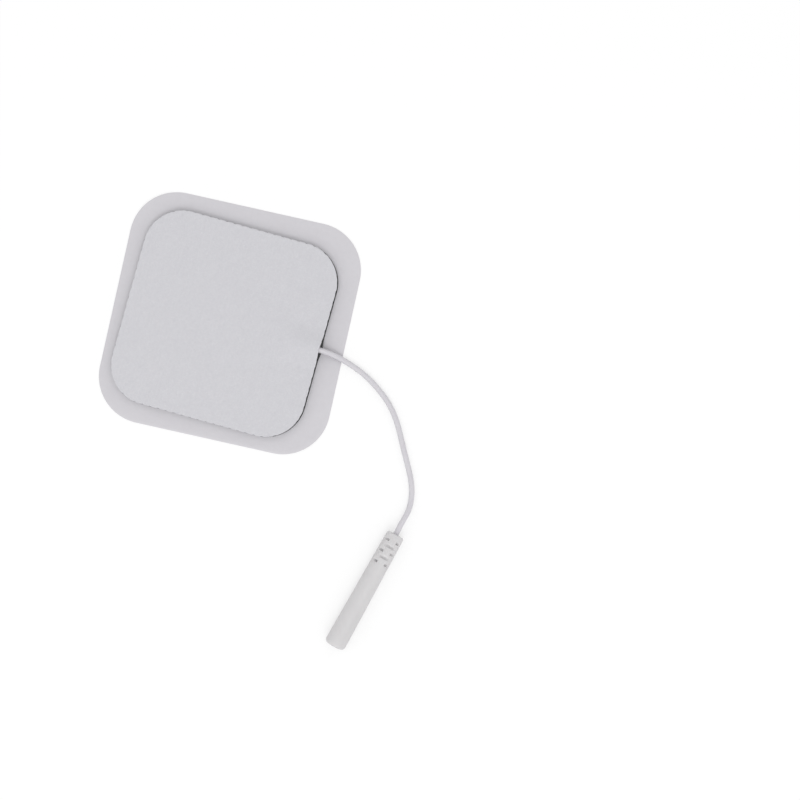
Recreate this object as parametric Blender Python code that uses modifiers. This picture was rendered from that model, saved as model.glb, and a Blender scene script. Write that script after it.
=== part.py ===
"""A TENS electrode pad on its release liner, with its lead and its moulded socket plug.

The pad's sides run along X and Y, and the lead leaves the middle of its +X side. The
origin is the centre of the liner's underside, and +Z points up. The part lies on a flat
surface at Z = 0, and the lead and the plug lie on that surface too.
"""

import math

import bmesh
import bpy
import numpy as np
from mathutils import Matrix, Quaternion, Vector

MM = 0.001

# Pad outline, cut by one die through every layer, and its place on the liner
PAD_SIDE = 50.0 * MM
PAD_CORNER = 10.0 * MM
PAD_OFFSET_X = -1.2 * MM
PAD_OFFSET_Y = -0.5 * MM

# Release liner, wider than the pad all round and laid by hand, so slightly turned to it
LINER_MARGIN = 4.6 * MM
LINER_CORNER = 12.0 * MM
LINER_TURN = math.radians(2.9)

# Layers from the bottom up, and the air left between each and the next
LINER_THICKNESS = 0.15 * MM
GEL_LOWER_THICKNESS = 0.50 * MM
SCRIM_THICKNESS = 0.10 * MM
GEL_UPPER_THICKNESS = 0.30 * MM
FILM_THICKNESS = 0.12 * MM
FABRIC_THICKNESS = 0.45 * MM
LAYER_GAP = 0.05 * MM

# Open net that carries the gel
SCRIM_PITCH = 5.0 * MM
SCRIM_THREAD = 0.5 * MM

# Lead, how far its jacket reaches in under the fabric, and the air under what lies free
LEAD_DIAMETER = 1.4 * MM
LEAD_TUCK = 2.5 * MM
FLOOR_GAP = 0.05 * MM

# Way from the pad's side to the plug's cable end, measured from the lead's exit
LEAD_ROUTE = (
    (0.0, 0.0),
    (2.9, -0.2),
    (6.4, -0.9),
    (10.2, -2.1),
    (13.7, -3.7),
    (16.9, -5.7),
    (19.9, -8.1),
    (22.4, -10.9),
    (24.5, -14.1),
    (26.5, -17.7),
    (28.7, -21.6),
    (30.8, -25.6),
    (32.0, -29.5),
    (32.1, -33.2),
    (31.3, -36.5),
)
PLUG_OFFSET_X = 30.7 * MM
PLUG_OFFSET_Y = -39.5 * MM

# Runs over which the lead sinks to the liner, to the floor, and climbs to the plug
EXIT_SINK_RUN = 5.5 * MM
LINER_SINK_RUN = 4.0 * MM
PLUG_CLIMB_RUN = 11.0 * MM

# Bare strands, spread as a fan between the fabric and the carbon film
STRAND_COUNT = 7
STRAND_DIAMETER = 0.12 * MM
STRAND_LENGTH = 20.0 * MM
STRAND_SPREAD = 2.0 * MM
STRAND_SINK_RUN = 4.0 * MM

# Rise of the fabric over the lead's end, and over the strands
TENT_HALF_WIDTH = 6.0 * MM
TENT_RUN_OUT = 12.0 * MM
BLISTER_CLEARANCE = 0.08 * MM
BLISTER_MARGIN = 0.7 * MM
BLISTER_SOFT = 2.0 * MM

# Plug, moulded over the lead's end and the contact, with its axis turned on the surface
PLUG_LENGTH = 32.0 * MM
PLUG_MOUTH_DIAMETER = 5.4 * MM
PLUG_SHOULDER_DIAMETER = 4.6 * MM
PLUG_SHOULDER_LENGTH = 0.5 * MM
PLUG_CABLE_END_DIAMETER = 3.6 * MM
PLUG_MOUTH_ROUND = 1.0 * MM
PLUG_HEADING = math.radians(256.4)
PLUG_ROLL = math.radians(-3.0)
PLUG_CLEARANCE = 0.1 * MM
LIP_THICKNESS = 0.8 * MM

# Strain relief slots, sunk from above and from below. On one half every other row has
# two deep ones beside the lead, down to a web at the parting plane, and the rows between
# have a shallow one across it. The other half has them the other way round.
SLOT_ROWS = 5
SLOT_FIRST = 1.9 * MM
SLOT_PITCH = 1.53 * MM
SLOT_WIDTH = 0.6 * MM
SLOT_WEB = 2.2 * MM
SLEEVE_WALL = 0.15 * MM
SHALLOW_SLOT_DEPTH = 0.5 * MM

# Socket contact for a 2 mm pin, from its mouth back to its crimp barrel
PIN_DIAMETER = 2.0 * MM
PIN_LEAD_IN = 0.15 * MM
PIN_DEPTH = 13.0 * MM
SOCKET_WALL = 0.4 * MM
SOCKET_FLOOR = 2.0 * MM
SLIT_WIDTH = 0.3 * MM
SLIT_LENGTH = 9.0 * MM
NECK_LENGTH = 1.0 * MM
CRIMP_WALL = 0.7 * MM
CRIMP_DEPTH = 4.5 * MM
CRIMP_DENT_DEPTH = 0.3 * MM
CRIMP_DENT_LENGTH = 2.0 * MM
CORE_DIAMETER = 0.6 * MM
JACKET_STANDOFF = 0.6 * MM

# Fineness of the meshes
CORNER_STEPS = 10
ROUND_STEPS = 32
EDGE_STEPS = 4
FABRIC_CELLS_X = 24
FABRIC_CELLS_Y = 28
FABRIC_CROWDING = 0.65
MERGE_DISTANCE = 0.001 * MM
SMOOTH_ANGLE = math.radians(35.0)

# Sizes that follow from the pieces they fit
LINER_SIDE = PAD_SIDE + 2 * LINER_MARGIN
STRAND_PITCH = STRAND_DIAMETER + LAYER_GAP
BLISTER_RISE = STRAND_DIAMETER + BLISTER_CLEARANCE
SLOT_RIB = LEAD_DIAMETER + 2 * (PLUG_CLEARANCE + SLEEVE_WALL)
LIP_DIAMETER = PIN_DIAMETER + 2 * PIN_LEAD_IN
SOCKET_DIAMETER = PIN_DIAMETER + 2 * SOCKET_WALL
CRIMP_BORE_DIAMETER = CORE_DIAMETER + 2 * PLUG_CLEARANCE
CRIMP_DIAMETER = CRIMP_BORE_DIAMETER + 2 * CRIMP_WALL

# Heights that follow from the layers
GEL_LOWER_Z = LINER_THICKNESS + LAYER_GAP
SCRIM_Z = GEL_LOWER_Z + GEL_LOWER_THICKNESS + LAYER_GAP
GEL_UPPER_Z = SCRIM_Z + SCRIM_THICKNESS + LAYER_GAP
FILM_Z = GEL_UPPER_Z + GEL_UPPER_THICKNESS + LAYER_GAP
FABRIC_Z = FILM_Z + FILM_THICKNESS + LAYER_GAP
LEAD_IN_PAD_Z = FABRIC_Z + LEAD_DIAMETER / 2
LEAD_ON_LINER_Z = LINER_THICKNESS + LAYER_GAP + LEAD_DIAMETER / 2
LEAD_ON_FLOOR_Z = FLOOR_GAP + LEAD_DIAMETER / 2

# Places that follow from the pad, the lead and the plug
EXIT_X = PAD_OFFSET_X + PAD_SIDE / 2
EXIT_Y = PAD_OFFSET_Y
CONTACT_FRONT = PLUG_LENGTH - LIP_THICKNESS - PLUG_CLEARANCE
PIN_FLOOR = CONTACT_FRONT - PIN_DEPTH
SOCKET_BACK = PIN_FLOOR - SOCKET_FLOOR
CRIMP_FLOOR = SOCKET_BACK - NECK_LENGTH
CONTACT_BACK = CRIMP_FLOOR - CRIMP_DEPTH
LEAD_IN_PLUG = CONTACT_BACK - JACKET_STANDOFF
PLUG_TILT = math.atan2(
    (PLUG_MOUTH_DIAMETER - PLUG_SHOULDER_DIAMETER) / 2,
    PLUG_LENGTH - PLUG_SHOULDER_LENGTH,
)


def smooth(t):
    """Go from 0 to 1 with level ends as t goes from 0 to 1."""
    t = min(max(t, 0.0), 1.0)
    return t * t * (3.0 - 2.0 * t)


def bell(t):
    """Fall from 1 at t = 0 to 0 at t = 1 on either side, along a cosine."""
    return 0.5 * (1.0 + math.cos(math.pi * min(abs(t), 1.0)))


def clear_scene():
    """Remove every object that the scene starts with."""
    for existing in list(bpy.data.objects):
        bpy.data.objects.remove(existing, do_unlink=True)


def new_collection(name):
    """Add a collection to the scene."""
    collection = bpy.data.collections.new(name)
    bpy.context.scene.collection.children.link(collection)
    return collection


def new_material(name, color, roughness, metallic=0.0, alpha=1.0):
    """Make a material from one Principled shader."""
    material = bpy.data.materials.new(name)
    material.use_nodes = True
    shader = material.node_tree.nodes["Principled BSDF"]
    shader.inputs["Base Color"].default_value = (*color, 1.0)
    shader.inputs["Roughness"].default_value = roughness
    shader.inputs["Metallic"].default_value = metallic
    shader.inputs["Alpha"].default_value = alpha
    return material


def new_object(name, data, collection, material=None, parent=None):
    """Put mesh or curve data in the scene as one named object."""
    obj = bpy.data.objects.new(name, data)
    collection.objects.link(obj)
    obj.parent = parent
    if material is not None:
        data.materials.append(material)
    return obj


def make_cutter(obj):
    """Keep an object as a cutting tool, out of the model itself."""
    obj.hide_render = True
    obj.display_type = "WIRE"


def add_boolean(obj, operation, cutter):
    """Cut or trim an object with a cutter."""
    modifier = obj.modifiers.new(cutter.name, "BOOLEAN")
    modifier.operation = operation
    modifier.solver = "EXACT"
    modifier.object = cutter


def rounded_square(side, corner):
    """Corner points of a square with round corners, anticlockwise about the origin."""
    straight = side / 2 - corner
    points = []
    for quarter, (sx, sy) in enumerate(((1, 1), (-1, 1), (-1, -1), (1, -1))):
        for step in range(CORNER_STEPS + 1):
            angle = math.radians(90.0) * (quarter + step / CORNER_STEPS)
            x = sx * straight + corner * math.cos(angle)
            y = sy * straight + corner * math.sin(angle)
            points.append((x, y))
    return points


def inside_rounded_square(x, y, side, corner):
    """Tell whether a point lies inside a square with round corners."""
    dx = abs(x) - (side / 2 - corner)
    dy = abs(y) - (side / 2 - corner)
    if dx > 0.0 and dy > 0.0:
        return math.hypot(dx, dy) < corner
    return max(dx, dy) < corner


def flat_curve(name, outlines, thickness):
    """A flat plate from closed outlines: the first is its edge, the others are holes."""
    curve = bpy.data.curves.new(name, "CURVE")
    curve.dimensions = "2D"
    curve.fill_mode = "BOTH"
    curve.extrude = thickness / 2
    for outline in outlines:
        spline = curve.splines.new("POLY")
        spline.points.add(len(outline) - 1)
        for point, (x, y) in zip(spline.points, outline):
            point.co = (x, y, 0.0, 1.0)
        spline.use_cyclic_u = True
    return curve


def round_wire(name, points, diameter):
    """A round wire with closed ends along a line of points."""
    curve = bpy.data.curves.new(name, "CURVE")
    curve.dimensions = "3D"
    curve.bevel_depth = diameter / 2
    curve.bevel_resolution = 2
    curve.use_fill_caps = True
    spline = curve.splines.new("POLY")
    spline.points.add(len(points) - 1)
    for point, place in zip(spline.points, points):
        point.co = (*place, 1.0)
    return curve


def mesh_from(obj):
    """Mesh of a finished curve or modified object, with its seams welded, shaded smooth."""
    depsgraph = bpy.context.evaluated_depsgraph_get()
    mesh = bpy.data.meshes.new_from_object(obj.evaluated_get(depsgraph))
    bpy.data.objects.remove(obj, do_unlink=True)
    body = bmesh.new()
    body.from_mesh(mesh)
    bmesh.ops.remove_doubles(body, verts=body.verts, dist=MERGE_DISTANCE)
    body.to_mesh(mesh)
    body.free()
    mesh.shade_smooth()
    mesh.set_sharp_from_angle(angle=SMOOTH_ANGLE)
    return mesh


def box_mesh(name, low, high):
    """A box between two corners."""
    low = Vector(low)
    high = Vector(high)
    size = high - low
    body = bmesh.new()
    place = Matrix.Translation((low + high) / 2) @ Matrix.Diagonal((*size, 1.0))
    bmesh.ops.create_cube(body, size=1.0, matrix=place)
    mesh = bpy.data.meshes.new(name)
    body.to_mesh(mesh)
    body.free()
    return mesh


def turned(name, profile, closed, collection, material, parent):
    """A solid of revolution about Z from (radius, height) points, outer side downwards."""
    outline = bpy.data.meshes.new(f"{name}_profile")
    edges = [(i, i + 1) for i in range(len(profile) - 1)]
    if closed:
        edges.append((len(profile) - 1, 0))
    outline.from_pydata([(r, 0.0, z) for r, z in profile], edges, [])
    shape = new_object(f"{name}_profile", outline, collection)
    screw = shape.modifiers.new("Turn", "SCREW")
    screw.axis = "Z"
    screw.angle = math.radians(360.0)
    screw.steps = ROUND_STEPS
    screw.render_steps = ROUND_STEPS
    screw.use_merge_vertices = True
    screw.merge_threshold = MERGE_DISTANCE
    return new_object(name, mesh_from(shape), collection, material, parent)


def spline_through(points, spacing):
    """Even steps along a natural cubic spline through the given points."""
    points = np.array(points, dtype=float)
    chords = np.linalg.norm(np.diff(points, axis=0), axis=1)
    knots = np.concatenate(([0.0], np.cumsum(chords)))
    count = len(points)
    system = np.eye(count)
    load = np.zeros_like(points)
    for i in range(1, count - 1):
        system[i, i - 1:i + 2] = chords[i - 1], 2.0 * (chords[i - 1] + chords[i]), chords[i]
        after = (points[i + 1] - points[i]) / chords[i]
        before = (points[i] - points[i - 1]) / chords[i - 1]
        load[i] = 6.0 * (after - before)
    bend = np.linalg.solve(system, load)
    result = []
    for t in np.linspace(0.0, knots[-1], round(knots[-1] / spacing) + 1):
        i = min(int(np.searchsorted(knots, t, side="right")) - 1, count - 2)
        a = (knots[i + 1] - t) / chords[i]
        b = 1.0 - a
        straight = a * points[i] + b * points[i + 1]
        curved = (a ** 3 - a) * bend[i] + (b ** 3 - b) * bend[i + 1]
        result.append(tuple(straight + curved * chords[i] ** 2 / 6.0))
    return result


def cone_radius(height):
    """Radius of the plug's long taper at a height above its cable end."""
    return PLUG_SHOULDER_DIAMETER / 2 + math.tan(PLUG_TILT) * (height - PLUG_SHOULDER_LENGTH)


def plug_direction():
    """Way that the plug's axis points, from its cable end to its mouth."""
    level = math.cos(PLUG_TILT)
    return Vector((
        level * math.cos(PLUG_HEADING),
        level * math.sin(PLUG_HEADING),
        math.sin(PLUG_TILT),
    ))


def plug_cable_end():
    """Middle of the plug's cable end, with its tapered side lying on the surface."""
    height = FLOOR_GAP + cone_radius(0.0) * math.cos(PLUG_TILT)
    return Vector((EXIT_X + PLUG_OFFSET_X, EXIT_Y + PLUG_OFFSET_Y, height))


def lead_height(x, y):
    """Height of the lead's middle where it sinks to the liner and then to the floor."""
    sunk = smooth((x - EXIT_X) / EXIT_SINK_RUN)
    past_liner = x * math.cos(LINER_TURN) + y * math.sin(LINER_TURN) - LINER_SIDE / 2
    off_liner = smooth(past_liner / LINER_SINK_RUN)
    end = plug_cable_end()
    climbed = smooth(1.0 - math.hypot(x - end.x, y - end.y) / PLUG_CLIMB_RUN)
    height = LEAD_ON_FLOOR_Z
    height += (LEAD_IN_PAD_Z - LEAD_ON_LINER_Z) * (1.0 - sunk)
    height += (LEAD_ON_LINER_Z - LEAD_ON_FLOOR_Z) * (1.0 - off_liner)
    height += (end.z - LEAD_ON_FLOOR_Z) * climbed
    return height


def lead_points():
    """Middle line of the lead, from under the fabric to its end in the plug."""
    points = [(EXIT_X - LEAD_TUCK, EXIT_Y, LEAD_IN_PAD_Z)]
    for along, across in LEAD_ROUTE:
        x = EXIT_X + along * MM
        y = EXIT_Y + across * MM
        points.append((x, y, lead_height(x, y)))
    for share in (0.0, 0.35, 0.7, 1.0):
        points.append(tuple(plug_cable_end() + plug_direction() * LEAD_IN_PLUG * share))
    return spline_through(points, 2.0 * LEAD_DIAMETER)


def fan_half_width(beyond):
    """Half the width of the fan of strands, at a distance from the jacket's end."""
    opened = smooth(beyond / STRAND_LENGTH)
    pitch = STRAND_PITCH + (STRAND_SPREAD - STRAND_PITCH) * opened
    return pitch * (STRAND_COUNT - 1) / 2


def fabric_rise(inside, across):
    """Rise of the fabric at a distance in from the pad's side and across the lead."""
    beyond = inside - LEAD_TUCK
    tent = LEAD_DIAMETER + LAYER_GAP
    tent *= bell(across / TENT_HALF_WIDTH) * bell(max(beyond, 0.0) / TENT_RUN_OUT)
    past_side = abs(across) - fan_half_width(beyond) - BLISTER_MARGIN
    past_end = beyond - STRAND_LENGTH - BLISTER_MARGIN
    blister = BLISTER_RISE
    blister *= bell(max(past_side, 0.0) / BLISTER_SOFT)
    blister *= bell(max(past_end, 0.0) / BLISTER_SOFT)
    return math.hypot(tent, blister)


def make_liner(collection, material):
    """Silicone-coated film that carries the pad until it is used."""
    curve = flat_curve("release_liner", [rounded_square(LINER_SIDE, LINER_CORNER)], LINER_THICKNESS)
    liner = new_object("release_liner", curve, collection, material)
    liner.location.z = LINER_THICKNESS / 2
    liner.rotation_euler.z = LINER_TURN


def make_layer(name, bottom, thickness, collection, material, parent, holes=()):
    """One flat layer of the pad, cut to its outline."""
    outlines = [rounded_square(PAD_SIDE, PAD_CORNER), *holes]
    curve = flat_curve(name, outlines, thickness)
    layer = new_object(name, curve, collection, material, parent)
    layer.location.z = bottom + thickness / 2


def scrim_holes():
    """Square gaps of the net, left out where they would meet the pad's round corners."""
    count = int((PAD_SIDE - SCRIM_THREAD) / SCRIM_PITCH)
    reach = (SCRIM_PITCH - SCRIM_THREAD) / 2
    holes = []
    for column in range(count):
        for row in range(count):
            x = (column - (count - 1) / 2) * SCRIM_PITCH
            y = (row - (count - 1) / 2) * SCRIM_PITCH
            far_x = abs(x) + reach + SCRIM_THREAD / 4
            far_y = abs(y) + reach + SCRIM_THREAD / 4
            if inside_rounded_square(far_x, far_y, PAD_SIDE, PAD_CORNER):
                low_x, high_x = x - reach, x + reach
                low_y, high_y = y - reach, y + reach
                holes.append(((low_x, low_y), (high_x, low_y), (high_x, high_y), (low_x, high_y)))
    return holes


def make_fabric(collection, cutters, material, parent):
    """Nonwoven backing: a sheet raised over the lead and the strands, then die-cut."""
    body = bmesh.new()
    bmesh.ops.create_grid(body, x_segments=FABRIC_CELLS_X, y_segments=FABRIC_CELLS_Y, size=1.0)
    reach = PAD_SIDE / 2 + FABRIC_THICKNESS
    for vertex in body.verts:
        from_edge = (1.0 - vertex.co.x) / 2
        crowded = (1.0 - FABRIC_CROWDING) * from_edge + FABRIC_CROWDING * from_edge ** 2
        x = reach * (1.0 - 2.0 * crowded)
        across = (1.0 - FABRIC_CROWDING) * vertex.co.y + FABRIC_CROWDING * vertex.co.y ** 3
        y = reach * across
        vertex.co = (x, y, fabric_rise(PAD_SIDE / 2 - x, y))
    mesh = bpy.data.meshes.new("backing_fabric")
    body.to_mesh(mesh)
    body.free()
    mesh.shade_smooth()
    fabric = new_object("backing_fabric", mesh, collection, material, parent)
    fabric.location.z = FABRIC_Z
    thicken = fabric.modifiers.new("Thickness", "SOLIDIFY")
    thicken.thickness = FABRIC_THICKNESS
    thicken.offset = 1.0

    height = 4.0 * (LEAD_DIAMETER + FABRIC_THICKNESS)
    outline = flat_curve("fabric_die", [rounded_square(PAD_SIDE, PAD_CORNER)], height)
    shape = new_object("fabric_die_outline", outline, cutters)
    die = new_object("fabric_die", mesh_from(shape), cutters, parent=parent)
    die.location.z = FABRIC_Z
    make_cutter(die)
    add_boolean(fabric, "INTERSECT", die)


def make_strands(collection, material):
    """Bare strands of the lead, fanned out on the carbon film under the fabric."""
    start_x = EXIT_X - LEAD_TUCK - LAYER_GAP
    low = FABRIC_Z + STRAND_DIAMETER / 2
    steps = round(STRAND_LENGTH / (10.0 * STRAND_DIAMETER))
    for number in range(STRAND_COUNT):
        place = number - (STRAND_COUNT - 1) / 2
        points = []
        for step in range(steps + 1):
            beyond = STRAND_LENGTH * step / steps
            pitch = fan_half_width(beyond) * 2 / (STRAND_COUNT - 1)
            sunk = smooth(beyond / STRAND_SINK_RUN)
            height = LEAD_IN_PAD_Z + (low - LEAD_IN_PAD_Z) * sunk
            points.append((start_x - beyond, EXIT_Y + place * pitch, height))
        name = f"lead_strand_{number + 1}"
        new_object(name, round_wire(name, points, STRAND_DIAMETER), collection, material)


def make_lead(collection, material):
    """Insulated lead from the pad to the plug."""
    curve = round_wire("lead_wire", lead_points(), LEAD_DIAMETER)
    new_object("lead_wire", curve, collection, material)


def contact_steps(clearance):
    """Outer steps of the contact from front to back, widened by a clearance."""
    socket = SOCKET_DIAMETER / 2 + clearance
    crimp = CRIMP_DIAMETER / 2 + clearance
    return [
        (socket, CONTACT_FRONT + clearance),
        (socket, SOCKET_BACK - clearance),
        (crimp, SOCKET_BACK - clearance),
        (crimp, CONTACT_BACK - clearance),
    ]


def plug_profile():
    """Section of the plug's body: outer side downwards, then up through its bore."""
    lip = LIP_DIAMETER / 2
    jacket = LEAD_DIAMETER / 2 + PLUG_CLEARANCE
    points = [(lip, PLUG_LENGTH)]
    mouth_wall = cone_radius(PLUG_LENGTH) - lip
    mouth_round = min(PLUG_MOUTH_ROUND, mouth_wall * 2 / 3)
    round_z = PLUG_LENGTH - mouth_round
    round_x = cone_radius(round_z) - mouth_round
    for step in range(EDGE_STEPS + 1):
        angle = math.radians(90.0) * (1.0 - step / EDGE_STEPS)
        across = mouth_round * math.cos(angle)
        points.append((round_x + across, round_z + mouth_round * math.sin(angle)))
    narrowing = (PLUG_SHOULDER_DIAMETER - PLUG_CABLE_END_DIAMETER) / 2
    for step in range(EDGE_STEPS + 1):
        angle = math.radians(90.0) * step / EDGE_STEPS
        radius = PLUG_CABLE_END_DIAMETER / 2 + narrowing * math.cos(angle)
        points.append((radius, PLUG_SHOULDER_LENGTH * (1.0 - math.sin(angle))))
    inner = [(lip, CONTACT_FRONT + PLUG_CLEARANCE)]
    inner += contact_steps(PLUG_CLEARANCE)
    inner += [(jacket, CONTACT_BACK - PLUG_CLEARANCE), (jacket, 0.0)]
    return points + inner[::-1]


def make_plug_body(collection, cutters, material, parent):
    """Soft moulded body of the plug, with the slots of its strain relief."""
    body = turned("plug_body", plug_profile(), True, collection, material, parent)
    far = PLUG_MOUTH_DIAMETER
    for row in range(SLOT_ROWS):
        low_z = SLOT_FIRST + row * SLOT_PITCH - SLOT_WIDTH / 2
        high_z = low_z + SLOT_WIDTH
        shallow_floor = cone_radius(low_z) - SHALLOW_SLOT_DEPTH
        for half in (-1, 1):
            floor = shallow_floor
            spans = {"across": (-far, far)}
            if row % 2 == (half < 0):
                floor = SLOT_WEB / 2
                spans = {"left": (-far, -SLOT_RIB / 2), "right": (SLOT_RIB / 2, far)}
            near, away = sorted((half * floor, half * far))
            for side, (start, end) in spans.items():
                name = f"slot_{row + 1}_{'lower' if half < 0 else 'upper'}_{side}"
                mesh = box_mesh(name, (start, near, low_z), (end, away, high_z))
                cutter = new_object(name, mesh, cutters, parent=parent)
                make_cutter(cutter)
                add_boolean(body, "DIFFERENCE", cutter)


def make_contact(collection, cutters, material, parent):
    """Sprung brass socket with one slit, and its crimp barrel pressed flat on two sides."""
    pin = PIN_DIAMETER / 2
    crimp_bore = CRIMP_BORE_DIAMETER / 2
    profile = [(0.0, PIN_FLOOR), (pin, PIN_FLOOR), (pin, CONTACT_FRONT)]
    profile += contact_steps(0.0)
    profile += [(crimp_bore, CONTACT_BACK), (crimp_bore, CRIMP_FLOOR), (0.0, CRIMP_FLOOR)]
    contact = turned("socket_contact", profile, False, collection, material, parent)

    slit_low = (0.0, -SLIT_WIDTH / 2, CONTACT_FRONT - SLIT_LENGTH)
    slit_high = (SOCKET_DIAMETER, SLIT_WIDTH / 2, CONTACT_FRONT + SOCKET_DIAMETER)
    boxes = {"contact_slit": (slit_low, slit_high)}
    dent_z = CONTACT_BACK + (CRIMP_DEPTH - CRIMP_DENT_LENGTH) / 2
    dent_near = CRIMP_DIAMETER / 2 - CRIMP_DENT_DEPTH
    for side, name in ((-1, "crimp_dent_low"), (1, "crimp_dent_high")):
        near, away = sorted((side * dent_near, side * CRIMP_DIAMETER))
        low = (-CRIMP_DIAMETER, near, dent_z)
        high = (CRIMP_DIAMETER, away, dent_z + CRIMP_DENT_LENGTH)
        boxes[name] = (low, high)
    for name, (low, high) in boxes.items():
        cutter = new_object(name, box_mesh(name, low, high), cutters, parent=parent)
        make_cutter(cutter)
        add_boolean(contact, "DIFFERENCE", cutter)


def make_core_stub(collection, material, parent):
    """Stripped end of the lead's core, held in the crimp barrel."""
    start = Vector((0.0, 0.0, LEAD_IN_PLUG + LAYER_GAP))
    end = Vector((0.0, 0.0, CRIMP_FLOOR - LAYER_GAP))
    curve = round_wire("core_stub", [start, end], CORE_DIAMETER)
    new_object("core_stub", curve, collection, material, parent)


def main():
    """Build every piece in its place."""
    clear_scene()
    pieces = new_collection("tens_electrode_pad")
    cutters = new_collection("cutters")

    fabric = new_material("nonwoven_fabric", (0.64, 0.63, 0.66), 0.85)
    carbon = new_material("carbon_film", (0.02, 0.02, 0.022), 0.5)
    gel = new_material("hydrogel", (0.70, 0.74, 0.74), 0.15, alpha=0.6)
    net = new_material("scrim_fibre", (0.75, 0.75, 0.75), 0.7)
    film = new_material("liner_film", (0.62, 0.62, 0.63), 0.35, alpha=0.85)
    jacket = new_material("lead_pvc", (0.70, 0.69, 0.69), 0.45)
    moulding = new_material("plug_pvc", (0.68, 0.67, 0.67), 0.45)
    brass = new_material("plated_brass", (0.75, 0.73, 0.68), 0.25, metallic=1.0)
    tinned = new_material("tinned_copper", (0.72, 0.70, 0.67), 0.35, metallic=1.0)

    pad = new_object("pad_place", None, pieces)
    pad.location = (PAD_OFFSET_X, PAD_OFFSET_Y, 0.0)
    make_liner(pieces, film)
    make_layer("gel_lower", GEL_LOWER_Z, GEL_LOWER_THICKNESS, pieces, gel, pad)
    make_layer("gel_scrim", SCRIM_Z, SCRIM_THICKNESS, pieces, net, pad, scrim_holes())
    make_layer("gel_upper", GEL_UPPER_Z, GEL_UPPER_THICKNESS, pieces, gel, pad)
    make_layer("carbon_film", FILM_Z, FILM_THICKNESS, pieces, carbon, pad)
    make_fabric(pieces, cutters, fabric, pad)
    make_strands(pieces, tinned)
    make_lead(pieces, jacket)

    plug = new_object("plug_place", None, pieces)
    plug.location = plug_cable_end()
    plug.rotation_mode = "QUATERNION"
    turn = plug_direction().to_track_quat("Z", "Y")
    plug.rotation_quaternion = turn @ Quaternion((0.0, 0.0, 1.0), PLUG_ROLL)
    make_plug_body(pieces, cutters, moulding, plug)
    make_contact(pieces, cutters, brass, plug)
    make_core_stub(pieces, tinned, plug)


main()
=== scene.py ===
"""A TENS electrode pad on its release liner, with its lead and its moulded socket plug.

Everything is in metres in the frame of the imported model: X towards the side of the pad
where the lead leaves, Z up, and the part lying on the surface at Z = 0.
"""

import math

import bmesh
import bpy
import numpy as np
from mathutils import Matrix, Quaternion, Vector, noise


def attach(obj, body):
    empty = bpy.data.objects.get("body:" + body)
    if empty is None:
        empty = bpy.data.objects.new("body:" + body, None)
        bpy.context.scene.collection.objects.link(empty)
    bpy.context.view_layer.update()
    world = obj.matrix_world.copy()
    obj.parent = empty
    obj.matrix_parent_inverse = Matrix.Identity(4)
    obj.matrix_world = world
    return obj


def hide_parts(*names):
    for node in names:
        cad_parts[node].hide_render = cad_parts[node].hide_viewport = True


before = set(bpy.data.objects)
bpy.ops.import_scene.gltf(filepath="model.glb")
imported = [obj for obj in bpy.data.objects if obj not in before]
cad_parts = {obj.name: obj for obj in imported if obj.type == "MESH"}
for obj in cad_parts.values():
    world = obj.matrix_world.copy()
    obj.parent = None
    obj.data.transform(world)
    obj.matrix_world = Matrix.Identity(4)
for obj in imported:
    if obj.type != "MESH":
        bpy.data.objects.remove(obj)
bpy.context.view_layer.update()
MM = 0.001


# The camera looks straight down. Its frame is turned to the pad's sides, with the pad
# to the left of its middle and the plug below it.
VIEW_MIDDLE_X = 46.48 * MM
VIEW_MIDDLE_Y = -7.17 * MM
VIEW_WIDTH = 201.0 * MM
VIEW_TURN = math.radians(15.5)
PAD_TOP_Z = 1.87 * MM
LENS = 100.0
SENSOR = 36.0

camera_data = bpy.data.cameras.new("camera")
camera_data.lens = LENS
camera_data.sensor_width = SENSOR
camera = bpy.data.objects.new("camera", camera_data)
camera.location = (VIEW_MIDDLE_X, VIEW_MIDDLE_Y, PAD_TOP_Z + VIEW_WIDTH * LENS / SENSOR)
camera.rotation_euler = (0.0, 0.0, VIEW_TURN)
bpy.context.scene.collection.objects.link(camera)
bpy.context.scene.camera = camera
bpy.context.scene.view_settings.view_transform = "Standard"


# Lead: one fine stranded core in a thin white PVC jacket, extruded round. It comes out
# from under the backing fabric, sinks to the liner and then to the table, and keeps the
# soft bends that it got from lying twisted.
PAD_SIDE = 50.0 * MM
PAD_OFFSET_X = -1.2 * MM
PAD_OFFSET_Y = -0.5 * MM
LINER_SIDE = 59.2 * MM
LINER_TURN = math.radians(2.9)
FABRIC_Z = 1.42 * MM
LEAD_DIAMETER = 1.4 * MM
LEAD_TUCK = 2.5 * MM
LEAD_IN_PAD_Z = 2.12 * MM
LEAD_ON_LINER_Z = 0.90 * MM
LEAD_ON_FLOOR_Z = 0.75 * MM
LEAD_STEP = 0.35 * MM
EXIT_SINK_RUN = 5.5 * MM
LINER_SINK_RUN = 4.0 * MM
PLUG_CLIMB_RUN = 11.0 * MM
EXIT_X = PAD_OFFSET_X + PAD_SIDE / 2
EXIT_Y = PAD_OFFSET_Y
LEAD_ROUTE = (
    (0.0, 0.0),
    (2.9, -0.2),
    (6.4, -0.9),
    (10.2, -2.1),
    (13.7, -3.7),
    (16.9, -5.7),
    (19.9, -8.1),
    (22.4, -10.9),
    (24.5, -14.1),
    (26.5, -17.7),
    (28.7, -21.6),
    (30.8, -25.6),
    (32.0, -29.5),
    (32.1, -33.2),
    (31.3, -36.5),
)
PLUG_LENGTH = 32.0 * MM
PLUG_TILT = math.atan2(0.40, 31.5)
PLUG_HEADING = math.radians(256.4)
PLUG_ROLL = math.radians(-3.0)
PLUG_END = Vector((EXIT_X + 30.7 * MM, EXIT_Y - 39.5 * MM, 2.343 * MM))
PLUG_DIRECTION = Vector((
    math.cos(PLUG_TILT) * math.cos(PLUG_HEADING),
    math.cos(PLUG_TILT) * math.sin(PLUG_HEADING),
    math.sin(PLUG_TILT),
))
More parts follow.
